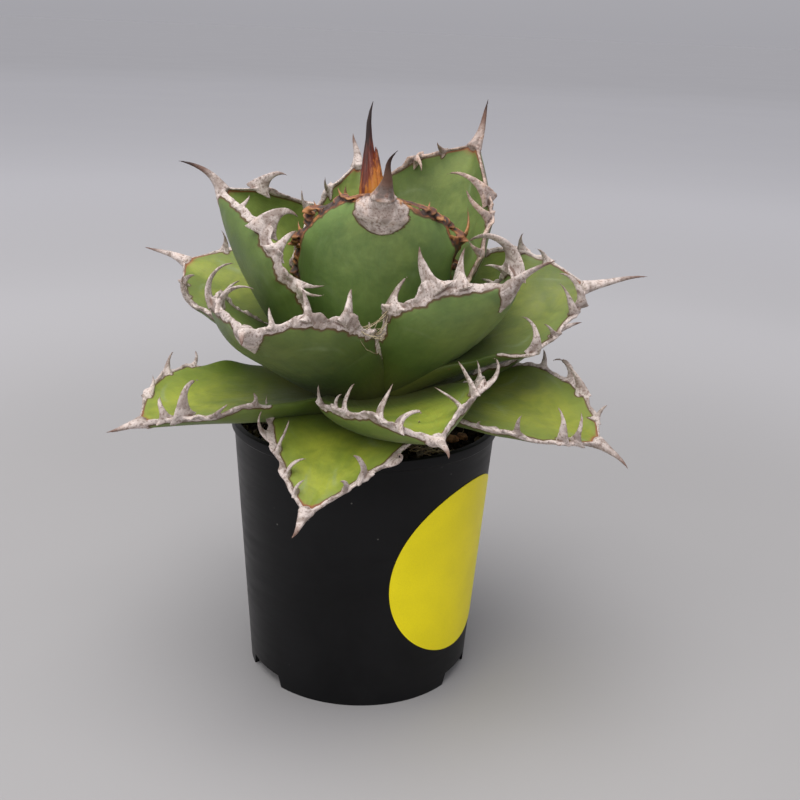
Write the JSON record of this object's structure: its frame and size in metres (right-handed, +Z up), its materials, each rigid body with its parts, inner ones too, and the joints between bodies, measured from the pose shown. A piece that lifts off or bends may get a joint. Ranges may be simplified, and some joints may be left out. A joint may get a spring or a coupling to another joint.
{
  "type": "potted agave",
  "caption": "Compact agave rosette with thick cupped leaves, pale horny toothed margins and dark spines, growing in a black round nursery pot with a yellow round label.",
  "frame": {"origin": "on the surface the pot stands on, under the middle of the plant's outline seen from above; the pot's axis stands 5.5 mm to -X and 3 mm to -Y of it", "axes": "+Z up along the pot's axis, -Y towards the viewer, +X to the viewer's right"},
  "size_m": [0.1723, 0.1585, 0.1935],
  "materials": {
    "pot": "black injection-moulded nursery pot plastic with a soft sheen",
    "label": "yellow coated paper sticker, bare",
    "soil": "dark gritty potting mix with pale pumice grains",
    "stem": "short pale fibrous plant stem",
    "horn": "horny margins, teeth and spines, pale grey-white, amber to dark red-brown toward the points",
    "leaf": "thick waxy green leaf with a pale grey-white horny margin, teeth and a dark-tipped spine"
  },
  "bodies": {
    "root": {"pot": "pot", "label": "label", "soil": "soil", "stem": "stem", "bud_point": "horn", "bud_leaf_1": "leaf", "bud_leaf_2": "leaf", "leaf_01": "leaf", "leaf_02": "leaf", "leaf_03": "leaf", "leaf_04": "leaf", "leaf_05": "leaf", "leaf_06": "leaf", "leaf_07": "leaf", "leaf_08": "leaf", "leaf_09": "leaf", "leaf_10": "leaf", "leaf_11": "leaf", "leaf_12": "leaf", "leaf_13": "leaf", "leaf_14": "leaf", "leaf_15": "leaf"}
  },
  "joints": []
}
